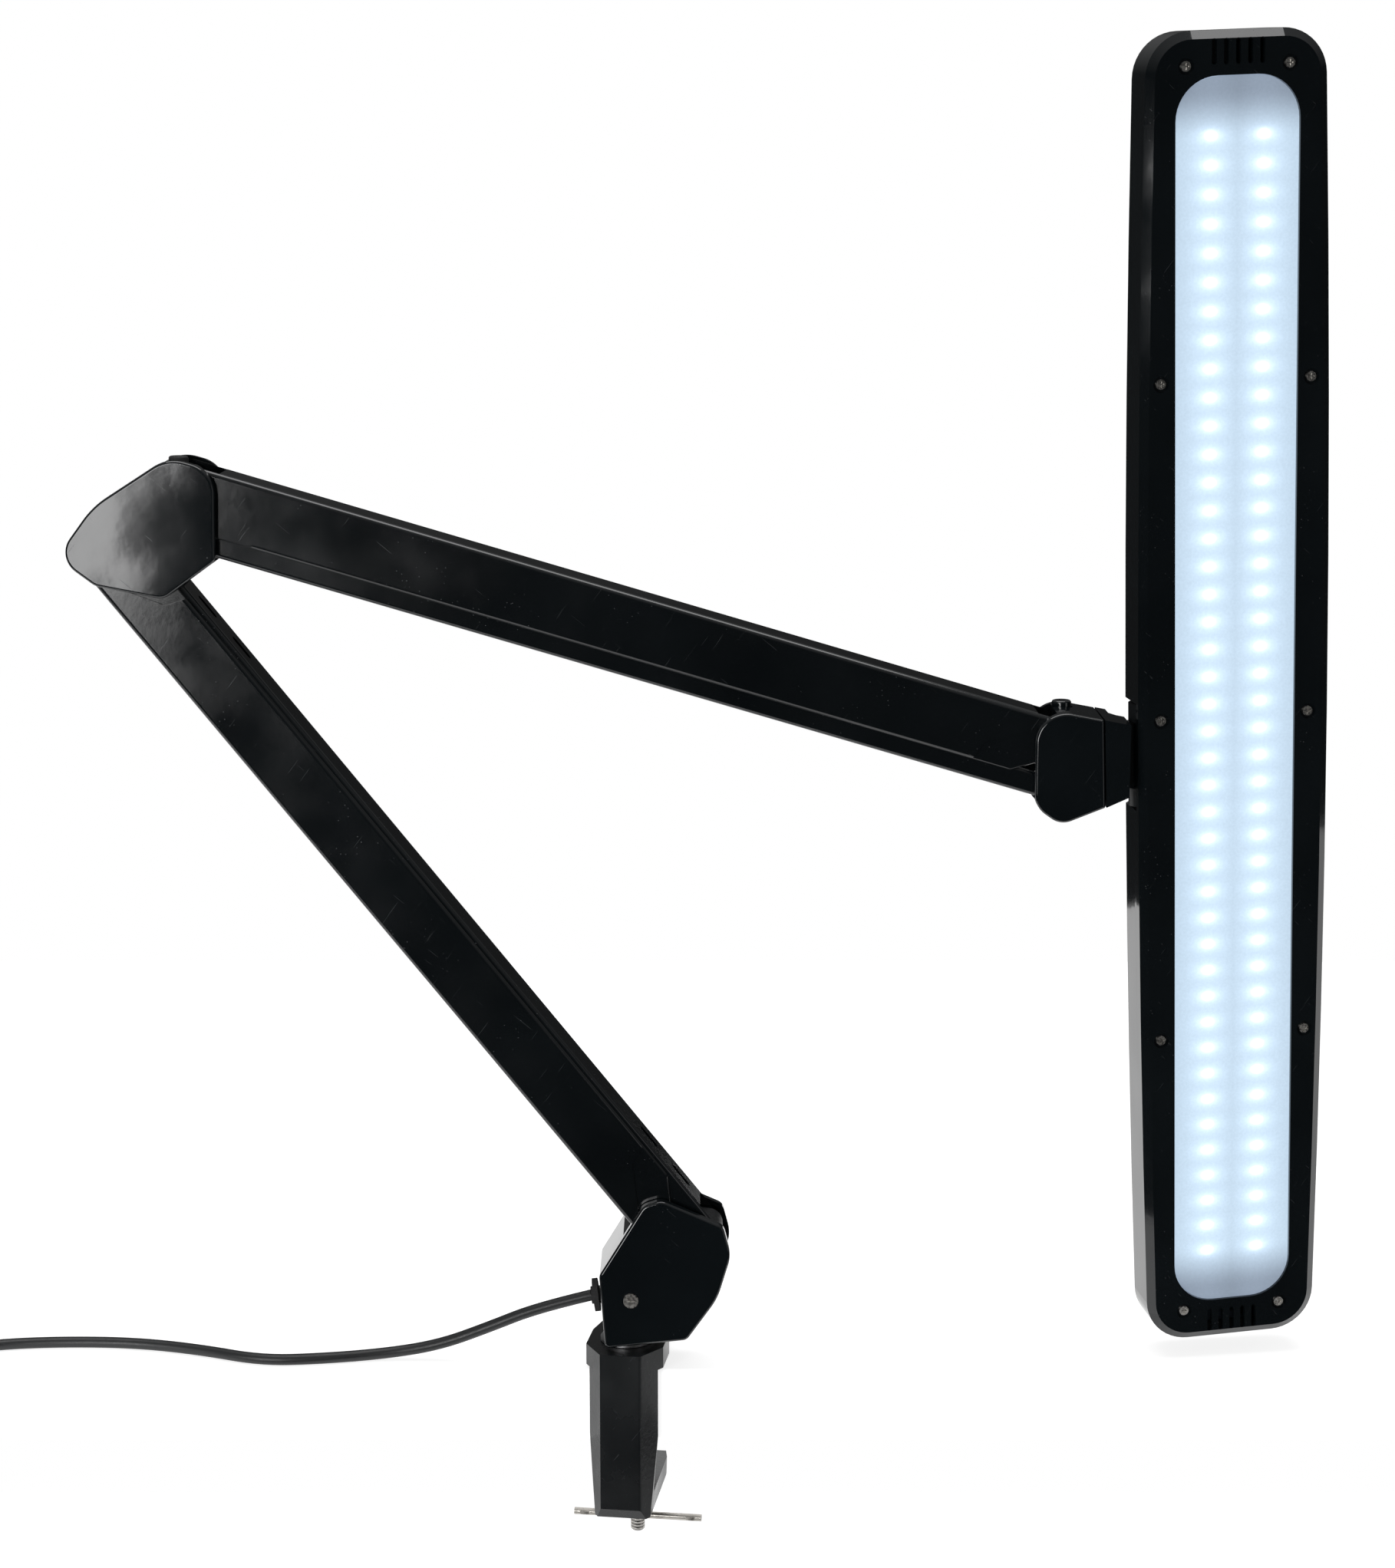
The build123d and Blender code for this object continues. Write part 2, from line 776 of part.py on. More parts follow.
neck_start = 204.6
neck_end = 215.0
with BuildPart() as neck_body:
    with BuildSketch(Plane.XZ):
        with BuildLine():
            Polyline(
                (neck_start - 0.66, outline_height(neck_start)[0]),
                (neck_end, outline_height(neck_end)[0]),
                (neck_end, outline_height(neck_end)[1]),
                (neck_start + 0.73, outline_height(neck_start)[1]),
                close=True,
            )
        make_face()
    extrude(amount=cover_half, both=True)
    # The rear corner is cut away, so that the head can turn to the back.
    with BuildSketch(Plane.XY.offset(240)):
        with BuildLine():
            Polyline((208.5, 30), (208.5, 8), (211.5, 5), (230, 5), (230, 30), close=True)
        make_face()
    extrude(amount=70, mode=Mode.SUBTRACT)
    with BuildSketch(hinge.offset(-14)):
        Circle(5.0)
        with Locations((-5.5, 0)):
            Rectangle(11, 8)
    extrude(amount=28)
    with BuildSketch(hinge.offset(-20)):
        Circle(2 + running_gap)
    extrude(amount=40, mode=Mode.SUBTRACT)
    with BuildSketch(spigot_line.offset(10)):
        Circle(5)
    extrude(amount=12, mode=Mode.SUBTRACT)
keep(neck_body, "neck_body")

with BuildPart() as neck_spigot:
    with BuildSketch(spigot_line.offset(10)):
        Circle(5)
    extrude(amount=19.5)
    chamfer(neck_spigot.edges().group_by(Axis.X)[0], 0.6)
keep(neck_spigot, "neck_spigot")


# ---------------------------------------------------------------- head
def head_plan(z, inset=0.0):
    """A long rounded plan whose sides bulge a little at the middle."""
    side = head_width / 2 - inset
    end_side = head_end_width / 2 - inset
    top = head_length / 2 - inset
    with BuildSketch(head.offset(z)) as plan:
        with BuildLine():
            ThreePointArc((-end_side, -top), (-side, 0), (-end_side, top))
            Line((-end_side, top), (end_side, top))
            ThreePointArc((end_side, top), (side, 0), (end_side, -top))
            Line((end_side, -top), (-end_side, -top))
        make_face()
        fillet(plan.vertices(), head_corner - inset)
    return plan.sketch


corner_screws = [(x, y) for x in (-22, 22) for y in (-271, 271)]
side_screws = [(x, y) for x in (-32.5, 32.5) for y in (-143, 0, 143)]
short_screw = (-32.5, 0)
screw_places = corner_screws + side_screws
long_screws = [place for place in screw_places if place != short_screw]
to_front = Axis(head.origin, head.z_dir)

with BuildPart() as head_front_bezel:
    extrude(head_plan(-bezel_depth), amount=bezel_depth)
    chamfer(head_front_bezel.faces().sort_by(to_front)[-1].outer_wire().edges(), 2.6, 3.4)
    hollow = head_plan(-bezel_depth, shell)
    extrude(hollow, amount=bezel_depth - shell - 0.4, mode=Mode.SUBTRACT)
    with BuildSketch(head):
        RectangleRounded(lens_width, lens_length, lens_corner)
    extrude(amount=-bezel_depth, mode=Mode.SUBTRACT)
    with BuildSketch(head):
        with Locations(*screw_places):
            Circle(3.3)
    extrude(amount=-1.2, mode=Mode.SUBTRACT)
    with BuildSketch(head):
        with Locations(*screw_places):
            Circle(1.4)
    extrude(amount=-bezel_depth, mode=Mode.SUBTRACT)
    with BuildSketch(head):
        for y in (-276.5, 276.5):
            with Locations((0, y)):
                with GridLocations(5.1, 1, 5, 1):
                    SlotOverall(10.4, 2.0, rotation=90)
    extrude(amount=-bezel_depth, mode=Mode.SUBTRACT)
    with BuildSketch(head.offset(-bezel_depth)):
        with Locations((-head_width / 2, -tilt_drop)):
            Rectangle(2 * tilt_inset + 6, 47)
    extrude(amount=3.5, mode=Mode.SUBTRACT)
keep(head_front_bezel, "head_front_bezel")

with BuildPart() as head_rear_housing:
    extrude(head_plan(-head_depth), amount=head_depth - bezel_depth)
    chamfer(head_rear_housing.faces().sort_by(to_front)[0].outer_wire().edges(), 5.0, 4.0)
    hollow = head_plan(-head_depth + shell, shell + 2.4)
    extrude(hollow, amount=head_depth - bezel_depth, mode=Mode.SUBTRACT)
    with BuildSketch(head.offset(-head_depth + shell)):
        with Locations(*long_screws):
            Circle(3.0)
    extrude(amount=head_depth - shell - bezel_depth)
    with BuildSketch(head):
        with Locations(*long_screws):
            Circle(1.3)
    extrude(amount=-18, mode=Mode.SUBTRACT)
    with BuildSketch(head):
        with Locations((-head_width / 2, -tilt_drop)):
            Rectangle(2 * tilt_inset + 20, 47)
    extrude(amount=-head_depth - 1, mode=Mode.SUBTRACT)
    with BuildSketch(head):
        with Locations((0, -235)):
            Circle(5.1)
        with GridLocations(9, 340, 5, 2):
            SlotOverall(22, 2.6, rotation=90)
    extrude(amount=-head_depth - 1, mode=Mode.SUBTRACT)
keep(head_rear_housing, "head_rear_housing")

with BuildPart() as head_hinge_bracket:
    for way in (-1, 1):
        with BuildSketch(hinge.offset(way * 14.5)):
            Circle(6.4)
        extrude(amount=way * 8.0)
        with BuildSketch(head.offset(-tilt_depth - 6)):
            with Locations((hinge_x + 4.5, -tilt_drop + way * 18.5)):
                Rectangle(9, 8)
        extrude(amount=12)
    with BuildSketch(head.offset(-tilt_depth - 6)):
        with Locations((hinge_x + 8.5, -tilt_drop)):
            Rectangle(2, 45)
    extrude(amount=12)
    with BuildSketch(hinge.offset(-30)):
        Circle(2.0)
    extrude(amount=60, mode=Mode.SUBTRACT)
keep(head_hinge_bracket, "head_hinge_bracket")

with BuildPart() as head_hinge_pin:
    with BuildSketch(hinge.offset(-22.5)):
        Circle(2.0)
    extrude(amount=45)
keep(head_hinge_pin, "head_hinge_pin")

with BuildPart() as diffuser:
    with BuildSketch(head.offset(-2.4)):
        RectangleRounded(lens_width - 0.6, lens_length - 0.6, lens_corner - 0.3)
    extrude(amount=1.6)
    with BuildSketch(head.offset(-4.4)):
        RectangleRounded(lens_width + 3, lens_length + 3, lens_corner + 1.5)
    extrude(amount=2.0)
    with BuildSketch(head.offset(-5)):
        with Locations(*side_screws):
            Circle(2.0)
    extrude(amount=6, mode=Mode.SUBTRACT)
keep(diffuser, "diffuser")

with BuildPart() as light_tray:
    with BuildSketch(head.offset(-12)):
        RectangleRounded(50, 528, 14)
    extrude(amount=1.2)
    with BuildSketch(head.offset(-12)):
        RectangleRounded(50, 528, 14)
        RectangleRounded(47.6, 525.6, 13, mode=Mode.SUBTRACT)
    extrude(amount=7.4)
keep(light_tray, "light_tray")

board_length = leds_in_row * led_pitch + 4
with BuildPart() as led_boards:
    with BuildSketch(head.offset(-10.8)):
        with Locations((-row_offset, 0), (row_offset, 0)):
            Rectangle(12, board_length)
    extrude(amount=1.2)
keep(led_boards, "led_boards")

with BuildPart() as leds:
    with BuildSketch(head.offset(-9.6)):
        with GridLocations(2 * row_offset, led_pitch, 2, leds_in_row):
            Rectangle(2.8, 3.5)
    extrude(amount=1.2)
keep(leds, "leds")

with BuildPart() as driver_board:
    with BuildSketch(head.offset(-22)):
        with Locations((4, -120)):
            Rectangle(34, 130)
    extrude(amount=1.6)
    with BuildSketch(head.offset(-20.4)):
        with Locations((-4, -80), (10, -100), (-4, -150)):
            Rectangle(12, 16)
        with Locations((12, -150)):
            Circle(5)
    extrude(amount=7)
keep(driver_board, "driver_board")

with BuildPart() as bezel_screws:
    with BuildSketch(head.offset(-1.2)):
        with Locations(*screw_places):
            Circle(2.1)
    extrude(amount=0.8)
    with BuildSketch(head.offset(-1.2)):
        with Locations(*long_screws):
            Circle(1.3)
    extrude(amount=-15)
    with BuildSketch(head.offset(-1.2)):
        with Locations(short_screw):
            Circle(1.3)
    extrude(amount=-3.6)
    with BuildSketch(head.offset(-0.4)):
        with Locations(*screw_places):
            Rectangle(2.6, 0.6)
            Rectangle(0.6, 2.6)
    extrude(amount=-0.5, mode=Mode.SUBTRACT)
keep(bezel_screws, "bezel_screws")

with BuildPart() as power_button:
    with BuildSketch(head.offset(-head_depth - 1.8)):
        with Locations((0, -235)):
            Circle(5.0)
    extrude(amount=6.0)
    fillet(power_button.edges().sort_by(to_front)[0], 0.8)
    with BuildSketch(head.offset(-head_depth + 4.2)):
        with Locations((0, -235)):
            Circle(6.5)
    extrude(amount=1.2)
keep(power_button, "power_button")


# ---------------------------------------------------------------- power cord
with BuildPart() as cable_gland:
    with BuildSketch(gland_line):
        Circle(3.9)
        Circle(cord_r, mode=Mode.SUBTRACT)
    extrude(amount=8.0)
    with BuildSketch(gland_line.offset(4.6)):
        Ellipse(6.0, 7.5)
        Circle(cord_r, mode=Mode.SUBTRACT)
    extrude(amount=2.4)
keep(cable_gland, "cable_gland")

# Out of the gland, down in a shallow slope to the table top, then along it to the coil.
cord_route = [
    (-16.0, 0.0, 31.6),
    (-40.0, 0.5, 25.5),
    (-62.0, 1.5, 16.0),
    (-84.0, 3.5, 7.0),
    (-108.0, 4.5, 2.5),
    (-137.0, -2.0, 2.5),
    (-163.0, -4.0, 2.5),
    (-192.0, 9.0, 2.5),
    (-222.0, 17.5, 2.5),
    (-254.0, 19.0, 2.5),
    (-284.0, 16.0, 2.5),
    (-309.0, 6.0, 2.5),
    (-325.0, -4.5, 2.5),
]


def bend_radii(route):
    """0.45 of the shorter run, divided by the tangent of half the turn."""
    points = [Vector(*p) for p in route]
    radii = []
    for before, at, after in zip(points, points[1:], points[2:]):
        turn = radians((at - before).get_angle(after - at))
        shorter = min((at - before).length, (after - at).length)
        radii.append(0.45 * shorter / tan(turn / 2))
    return radii


cord_radii = bend_radii(cord_route)
print("cord bends", [round(r) for r in cord_radii])
with BuildPart() as power_cord:
    with BuildLine() as path:
        cord_line = FilletPolyline(*cord_route, radius=cord_radii)
    first = Vector(*cord_route[1]) - Vector(*cord_route[0])
    with BuildSketch(Plane(origin=cord_route[0], x_dir=(0, 1, 0), z_dir=first)):
        Circle(cord_r)
    sweep(path=cord_line)
print("cord tube", power_cord.part.volume, pi * cord_r**2 * cord_line.length)
print("cord length", cord_line.length)
keep(power_cord, "power_cord")

coil_side = 2 * cord_r * coil_layers
with BuildPart() as cord_coil:
    middle = Plane(origin=(coil_centre[0], coil_centre[1], 0), x_dir=(1, 0, 0), z_dir=(0, -1, 0))
    with BuildSketch(middle):
        with Locations((coil_turn, coil_side / 2)):
            RectangleRounded(coil_side, coil_side, 2.4)
    revolve(axis=Axis((coil_centre[0], coil_centre[1], 0), (0, 0, 1)))
keep(cord_coil, "cord_coil")

plug_x = coil_centre[0] - coil_turn
plug_y = coil_centre[1] + 24.2
plug_plane = Plane(origin=(plug_x, plug_y, 7.5), x_dir=(1, 0, 0), z_dir=(0, 1, 0))
with BuildPart() as plug:
    with BuildSketch(plug_plane) as relief_end:
        Circle(3.2)
    with BuildSketch(plug_plane.offset(16)) as relief_root:
        Circle(5.2)
    loft()
    with BuildSketch(plug_plane.offset(16)):
        RectangleRounded(25, 15, 5)
    extrude(amount=22, taper=-1)
    fillet(plug.edges().group_by(Axis.Y)[-1], 1.2)
keep(plug, "plug")

with BuildPart() as plug_blades:
    with BuildSketch(plug_plane.offset(38)):
        with Locations((-6.35, 0), (6.35, 0)):
            Rectangle(1.5, 6.3)
    extrude(amount=17)
    chamfer(plug_blades.edges().group_by(Axis.Y)[-1], 0.4)
keep(plug_blades, "plug_blades")

print("head origin", head_origin, "right", head_right, "front", head_front, "up", head_up)
print("pins", base_pins, elbow_pins, wrist_pins, "neck", neck_along)
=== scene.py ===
"""Looks of a clamp-mounted work light: a black balanced arm and a long lit head."""

import itertools
import json
import math

import bpy
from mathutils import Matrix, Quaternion, Vector


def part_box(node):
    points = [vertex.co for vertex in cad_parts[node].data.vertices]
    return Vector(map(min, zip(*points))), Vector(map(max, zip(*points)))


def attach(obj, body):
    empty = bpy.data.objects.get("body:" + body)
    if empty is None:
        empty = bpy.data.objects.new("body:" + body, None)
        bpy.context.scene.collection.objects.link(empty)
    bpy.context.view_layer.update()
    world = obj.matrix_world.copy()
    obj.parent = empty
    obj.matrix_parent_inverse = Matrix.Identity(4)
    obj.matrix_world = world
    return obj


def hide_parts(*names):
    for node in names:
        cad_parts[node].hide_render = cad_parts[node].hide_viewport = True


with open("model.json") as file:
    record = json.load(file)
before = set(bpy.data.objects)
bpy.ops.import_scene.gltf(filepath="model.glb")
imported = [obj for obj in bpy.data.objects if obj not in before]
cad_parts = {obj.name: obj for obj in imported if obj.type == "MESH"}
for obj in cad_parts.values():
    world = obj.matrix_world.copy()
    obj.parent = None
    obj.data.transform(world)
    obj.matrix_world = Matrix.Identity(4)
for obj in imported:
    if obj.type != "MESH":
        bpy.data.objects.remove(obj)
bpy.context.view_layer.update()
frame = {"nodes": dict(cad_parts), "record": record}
scene = bpy.context.scene
scene.view_settings.view_transform = "Standard"


# ---------------------------------------------------------------- camera
FOCAL = 4000  # in pixels of the photograph's height
PHOTO_HEIGHT = 2044
SENSOR = 36

camera_data = bpy.data.cameras.new("camera")
camera = bpy.data.objects.new("camera", camera_data)
scene.collection.objects.link(camera)
camera.location = (0.0312, -1.3009, 0.5039)
camera.rotation_euler = (math.radians(79.5), 0, 0)
camera_data.lens = SENSOR * FOCAL / PHOTO_HEIGHT
camera_data.sensor_width = SENSOR
camera_data.clip_start = 0.05
scene.camera = camera


# ---------------------------------------------------------------- cord
CORD_R = 0.0025
COIL_X, COIL_Y = -0.337, 0.020
COIL_START = -49  # degrees from +X, where the cord runs into the coil
POINTS_A_TURN = 16
# A quadratic NURBS through a ring of points runs inside them by this ratio.
PULL_IN = 0.75 + 0.25 * math.cos(2 * math.pi / POINTS_A_TURN)
ROUTE = [
    (-0.016, 0.0, 0.0316),
    (-0.040, 0.0005, 0.0255),
    (-0.062, 0.0015, 0.016),
    (-0.084, 0.0035, 0.007),
    (-0.108, 0.0045, 0.0025),
    (-0.137, -0.002, 0.0025),
    (-0.163, -0.004, 0.0025),
    (-0.192, 0.009, 0.0025),
    (-0.222, 0.0175, 0.0025),
    (-0.254, 0.019, 0.0025),
    (-0.284, 0.016, 0.0025),
    (-0.309, 0.006, 0.0025),
]
# (turns wound so far, radius to the middle of the cord in mm, height in mm)
WINDING = [
    (0.0, 32.5, 2.5),
    (2.0, 22.4, 2.5),
    (5.0, 22.4, 17.6),
    (5.5, 27.6, 17.6),
    (7.5, 27.6, 7.6),
    (8.0, 32.7, 7.6),
    (8.364, 32.7, 7.5),
]


def wound(turns):
    """Radius and height, in metres, of the coil after so many turns."""
    for (t0, r0, z0), (t1, r1, z1) in zip(WINDING, WINDING[1:]):
        if turns <= t1:
            share = (turns - t0) / (t1 - t0)
            return (r0 + (r1 - r0) * share) / 1000, (z0 + (z1 - z0) * share) / 1000
    return WINDING[-1][1] / 1000, WINDING[-1][2] / 1000


def coil_points():
    """The coil's control points, from where the cord reaches it."""
    all_turns = WINDING[-1][0]
    count = round(all_turns * POINTS_A_TURN)
    for i in range(count + 1):
        turns = i / count * all_turns
        radius, height = wound(turns)
        angle = math.radians(COIL_START) - 2 * math.pi * turns
        reach = radius / PULL_IN
        yield (COIL_X + reach * math.cos(angle), COIL_Y + reach * math.sin(angle), height)


def tube(name, points, radius, order):
    """A round cord along one smooth NURBS spline."""
    data = bpy.data.curves.new(name, "CURVE")
    data.dimensions = "3D"
    data.bevel_depth = 1.0  # times each point's own radius
    data.bevel_resolution = 5
    data.resolution_u = 6
    data.use_fill_caps = True
    spline = data.splines.new("NURBS")
    spline.points.add(len(points) - 1)
    for spline_point, place in zip(spline.points, points):
        spline_point.co = (*place, 1)
        spline_point.radius = radius
    spline.order_u = order
    spline.use_endpoint_u = True
    made = bpy.data.objects.new(name, data)
    scene.collection.objects.link(made)
    return made


plug_mouth = (COIL_X - 0.0275, COIL_Y + 0.0242, 0.0075)
cord_end = [
    (plug_mouth[0] - 0.0008, plug_mouth[1] - 0.007, plug_mouth[2]),
    (plug_mouth[0], plug_mouth[1] + 0.001, plug_mouth[2]),
]
cord = tube("mains_cord", ROUTE + list(coil_points()) + cord_end, CORD_R, 3)
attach(cord, "base")
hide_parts("power_cord", "cord_coil")


# ---------------------------------------------------------------- directions
NECK_LEAN = 2.1  # degrees, the neck rises towards the head
HEAD_NOD = math.radians(3.4)  # the head's top leans to the front
HEAD_PAN = math.radians(9.0)  # the head's right side turns to the back


def slope(degrees):
    """A direction seen from the front, measured from +X."""
    angle = math.radians(degrees)
    return Vector((math.cos(angle), 0, math.sin(angle)))


def middle(node):
    """The middle of a node's box."""
    low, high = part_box(node)
    return (Vector(low) + Vector(high)) / 2


LOWER_ALONG = slope(128.6)
UPPER_ALONG = slope(-16.4)
neck_along = slope(NECK_LEAN)
HEAD_UP = slope(NECK_LEAN + 90) * math.cos(HEAD_NOD) + Vector((0, -math.sin(HEAD_NOD), 0))
HEAD_RIGHT = neck_along * math.cos(HEAD_PAN) + HEAD_UP.cross(neck_along) * math.sin(HEAD_PAN)


# ---------------------------------------------------------------- shader nodes
class Shading:
    """One material's nodes, with a short call for each kind that is used here."""

    def __init__(self, name):
        self.material = bpy.data.materials.new(name)
        self.material.use_nodes = True
        self.nodes = self.material.node_tree.nodes
        self.links = self.material.node_tree.links
        self.shader = self.nodes["Principled BSDF"]

    def add(self, kind):
        return self.nodes.new("ShaderNode" + kind)

    def feed(self, socket, value):
        """Link an output to a socket, or set the socket's own number or colour."""
        if isinstance(value, bpy.types.NodeSocket):
            self.links.new(value, socket)
        elif isinstance(value, tuple):
            socket.default_value = (*value, 1)
        else:
            socket.default_value = value

    def set(self, name, value):
        """Feed one of the shader's sockets."""
        self.feed(self.shader.inputs[name], value)

    def position(self):
        return self.add("TexCoord").outputs["Object"]

    def noise(self, scale, detail=3.0, stretch=None, turn=0.0):
        made = self.add("TexNoise")
        self.feed(made.inputs["Scale"], scale)
        self.feed(made.inputs["Detail"], detail)
        source = self.position()
        if stretch:
            mapping = self.add("Mapping")
            mapping.vector_type = "TEXTURE"  # turns first, then stretches
            mapping.inputs["Scale"].default_value = tuple(1 / s for s in stretch)
            mapping.inputs["Rotation"].default_value = (0, turn, 0)
            self.feed(mapping.inputs["Vector"], source)
            source = mapping.outputs["Vector"]
        self.feed(made.inputs["Vector"], source)
        return made.outputs["Fac"]

    def ranged(self, value, low, high, to_low, to_high, smooth=False):
        """Map a value from one range to another, and hold it inside the second."""
        made = self.add("MapRange")
        if smooth:
            made.interpolation_type = "SMOOTHSTEP"
        sockets = ("Value", "From Min", "From Max", "To Min", "To Max")
        for socket, fed in zip(sockets, (value, low, high, to_low, to_high)):
            self.feed(made.inputs[socket], fed)
        return made.outputs["Result"]

    def maths(self, operation, a, b=None):
        made = self.add("Math")
        made.operation = operation
        self.feed(made.inputs[0], a)
        if b is not None:
            self.feed(made.inputs[1], b)
        return made.outputs[0]

    def times(self, a, b):
        return self.maths("MULTIPLY", a, b)

    def plus(self, a, b):
        return self.maths("ADD", a, b)

    def mixed(self, share, a, b):
        """Colour a where share is 0, and b where it is 1."""
        made = self.add("Mix")
        made.data_type = "RGBA"
        for name, value in (("Factor", share), ("A", a), ("B", b)):
            socket = [s for s in made.inputs if s.name == name and s.enabled][0]
            self.feed(socket, value)
        return [s for s in made.outputs if s.enabled][0]

    def bump(self, height, strength, distance):
        made = self.add("Bump")
        self.feed(made.inputs["Strength"], strength)
        self.feed(made.inputs["Distance"], distance)
        self.feed(made.inputs["Height"], height)
        self.set("Normal", made.outputs["Normal"])

    def along(self, place, axis):
        """How far a place lies along an axis, in metres."""
        dot = self.add("VectorMath")
        dot.operation = "DOT_PRODUCT"
        dot.inputs[1].default_value = axis
        self.feed(dot.inputs[0], place)
        return dot.outputs["Value"]

    def from_middle(self, node):
        away = self.add("VectorMath")
        away.operation = "SUBTRACT"
        away.inputs[1].default_value = middle(node)
        self.feed(away.inputs[0], self.position())
        return away.outputs["Vector"]

    def bell(self, value, width):
        """exp(-(value / width)^2 / 2)."""
        ratio = self.maths("DIVIDE", value, width)
        return self.maths("EXPONENT", self.times(self.times(ratio, ratio), -0.5))

    def specks(self, scale, size):
        """Small scattered dots, 1 on a dot and 0 elsewhere."""
        cells = self.add("TexVoronoi")
        self.feed(cells.inputs["Scale"], scale)
        self.feed(cells.inputs["Vector"], self.position())
        dots = self.ranged(cells.outputs["Distance"], size * 0.6, size, 1, 0)
        some = self.ranged(self.noise(35, 1), 0.52, 0.62, 0, 1)
        return self.times(dots, some)

    def scratches(self, turn):
        """Long thin scratches that lie roughly one way."""
        lines = self.noise(1.0, 2.0, (40, 900, 1300), turn)
        return self.ranged(lines, 0.72, 0.76, 0, 1)


# ---------------------------------------------------------------- materials
def gloss_black(name, color, rough, grain, wave, coat, specular=0.5):
    """Black moulding or enamel with smudges, dust and fine scratches.

    grain is the scale and height of the fine bump, wave the height of the broad one.
    """
    s = Shading(name)
    scratch = s.maths("MAXIMUM", s.scratches(0.7), s.scratches(2.2))
    worn = s.maths("MAXIMUM", s.specks(420, 0.10), s.times(scratch, 0.30))
    cloud = s.ranged(s.noise(14, 4), 0.35, 0.70, 0, 1)
    tint = s.mixed(cloud, color, tuple(c * 1.5 + 0.0012 for c in color))
    s.set("Base Color", s.mixed(s.times(worn, 0.30), tint, (0.18, 0.19, 0.20)))
    smudge = s.ranged(s.noise(30, 5), 0.35, 0.75, *rough)
    s.set("Roughness", s.plus(smudge, s.times(worn, 0.25)))
    fine = s.times(s.noise(grain[0], 2), grain[1])
    broad = s.times(s.noise(20, 1), wave)
    s.bump(s.plus(fine, broad), 1.0, 0.0004)
    s.set("Specular IOR Level", specular)
    s.set("Coat Weight", coat)
    s.set("Coat Roughness", 0.06)
    return s.material


def metal(name, color, rough, grain=(900, 900, 900)):
    """Plated or brushed metal; grain stretches the brushing along one axis."""
    s = Shading(name)
    lines = s.noise(1.0, 3.0, grain)
    s.set("Roughness", s.ranged(lines, 0.3, 0.7, *rough))
    stain = s.ranged(s.noise(160, 4), 0.35, 0.70, 0, 1)
    s.set("Base Color", s.mixed(stain, color, tuple(c * 0.66 for c in color)))
    s.set("Metallic", 1.0)
    s.bump(lines, 0.12, 0.0002)
    return s.material


def striped_metal(name, color, axis, pitch):
    """Thread or close-wound spring turns: ridges along an axis, with painted shade in the
    grooves.
    """
    s = Shading(name)
    phase = s.times(s.along(s.position(), axis), 2 * math.pi / pitch)
    ridge = s.maths("SINE", phase)
    s.bump(ridge, 0.9, pitch * 0.3)
    # Painted shade: the colour darkens to 0.35 of itself in the grooves between the turns
    # and stays full on the crests.
    painted_crest_light = s.ranged(ridge, -1, 1, 0, 1)
    s.set("Base Color", s.mixed(painted_crest_light, tuple(c * 0.35 for c in color), color))
    s.set("Metallic", 1.0)
    s.set("Roughness", s.ranged(s.noise(300, 3), 0.3, 0.7, 0.22, 0.42))
    return s.material


def matte(name, color, rough, scale, depth, spread=0.8, specular=0.5):
    """Rubber, nylon, castings and boards: a fine grain under uneven colour."""
    s = Shading(name)
    grain = s.noise(scale, 4)
    cloud = s.ranged(s.noise(45, 4), 0.35, 0.70, 0, 1)
    s.set("Base Color", s.mixed(cloud, color, tuple(c * spread for c in color)))
    s.set("Roughness", s.ranged(grain, 0.3, 0.7, *rough))
    s.set("Specular IOR Level", specular)
    s.bump(grain, depth, 0.0004)
    return s.material


LED_PITCH = 11.86  # millimetres, as are the next three
ROW_OFFSET = 11.3
LAST_LED = 249.5  # from the head's middle to the end of the rows
FADE = (240, 262)  # where the glow fades towards the lens's ends


def lit_lens():
    """A diffuser with the glow of two rows of lights behind it."""
    s = Shading("lit_lens")
    place = s.from_middle("leds")
    x = s.times(s.along(place, HEAD_RIGHT), 1000)
    y = s.times(s.along(place, HEAD_UP), 1000)
    cell = s.maths("FRACT", s.maths("DIVIDE", s.plus(y, 100 * LED_PITCH), LED_PITCH))
    dy = s.times(s.maths("SUBTRACT", cell, 0.5), LED_PITCH)
    dx = s.maths("SUBTRACT", s.maths("ABSOLUTE", x), ROW_OFFSET)
    far = s.maths("ABSOLUTE", y)
    rows = s.ranged(far, LAST_LED - 1, LAST_LED + 1, 1, 0)
    lit = s.ranged(far, *FADE, 1, 0, smooth=True)

    core = s.times(s.bell(dx, 1.3), s.bell(dy, 1.0))
    halo = s.times(s.bell(dx, 4.2), s.bell(dy, 2.4))
    hot = s.times(s.plus(s.times(core, 1.3), s.times(halo, 0.36)), rows)
    column = s.times(s.bell(dx, 8.5), 0.20)
    level = s.plus(s.plus(column, 0.76), hot)
    prism = s.noise(900, 1)
    level = s.times(level, s.ranged(prism, 0.3, 0.7, 0.97, 1.03))

    tint = s.mixed(lit, (0.25, 0.31, 0.40), (0.66, 0.83, 1.0))
    white = s.ranged(hot, 0.15, 1.1, 0, 1)
    s.set("Emission Color", s.mixed(white, tint, (1.0, 1.0, 1.0)))
    s.set("Emission Strength", level)
    s.set("Base Color", s.mixed(lit, (0.10, 0.11, 0.12), (0.06, 0.07, 0.08)))
    s.set("Roughness", 0.12)
    s.bump(prism, 0.03, 0.0003)
    return s.material


def lit_chip():
    """The face of a lit LED under the diffuser."""
    s = Shading("lit_chip")
    s.set("Emission Strength", s.ranged(s.noise(700, 2), 0.3, 0.7, 2.5, 4.0))
    s.set("Emission Color", (0.92, 0.96, 1.0))
    s.set("Base Color", (0.9, 0.86, 0.5))
    return s.material


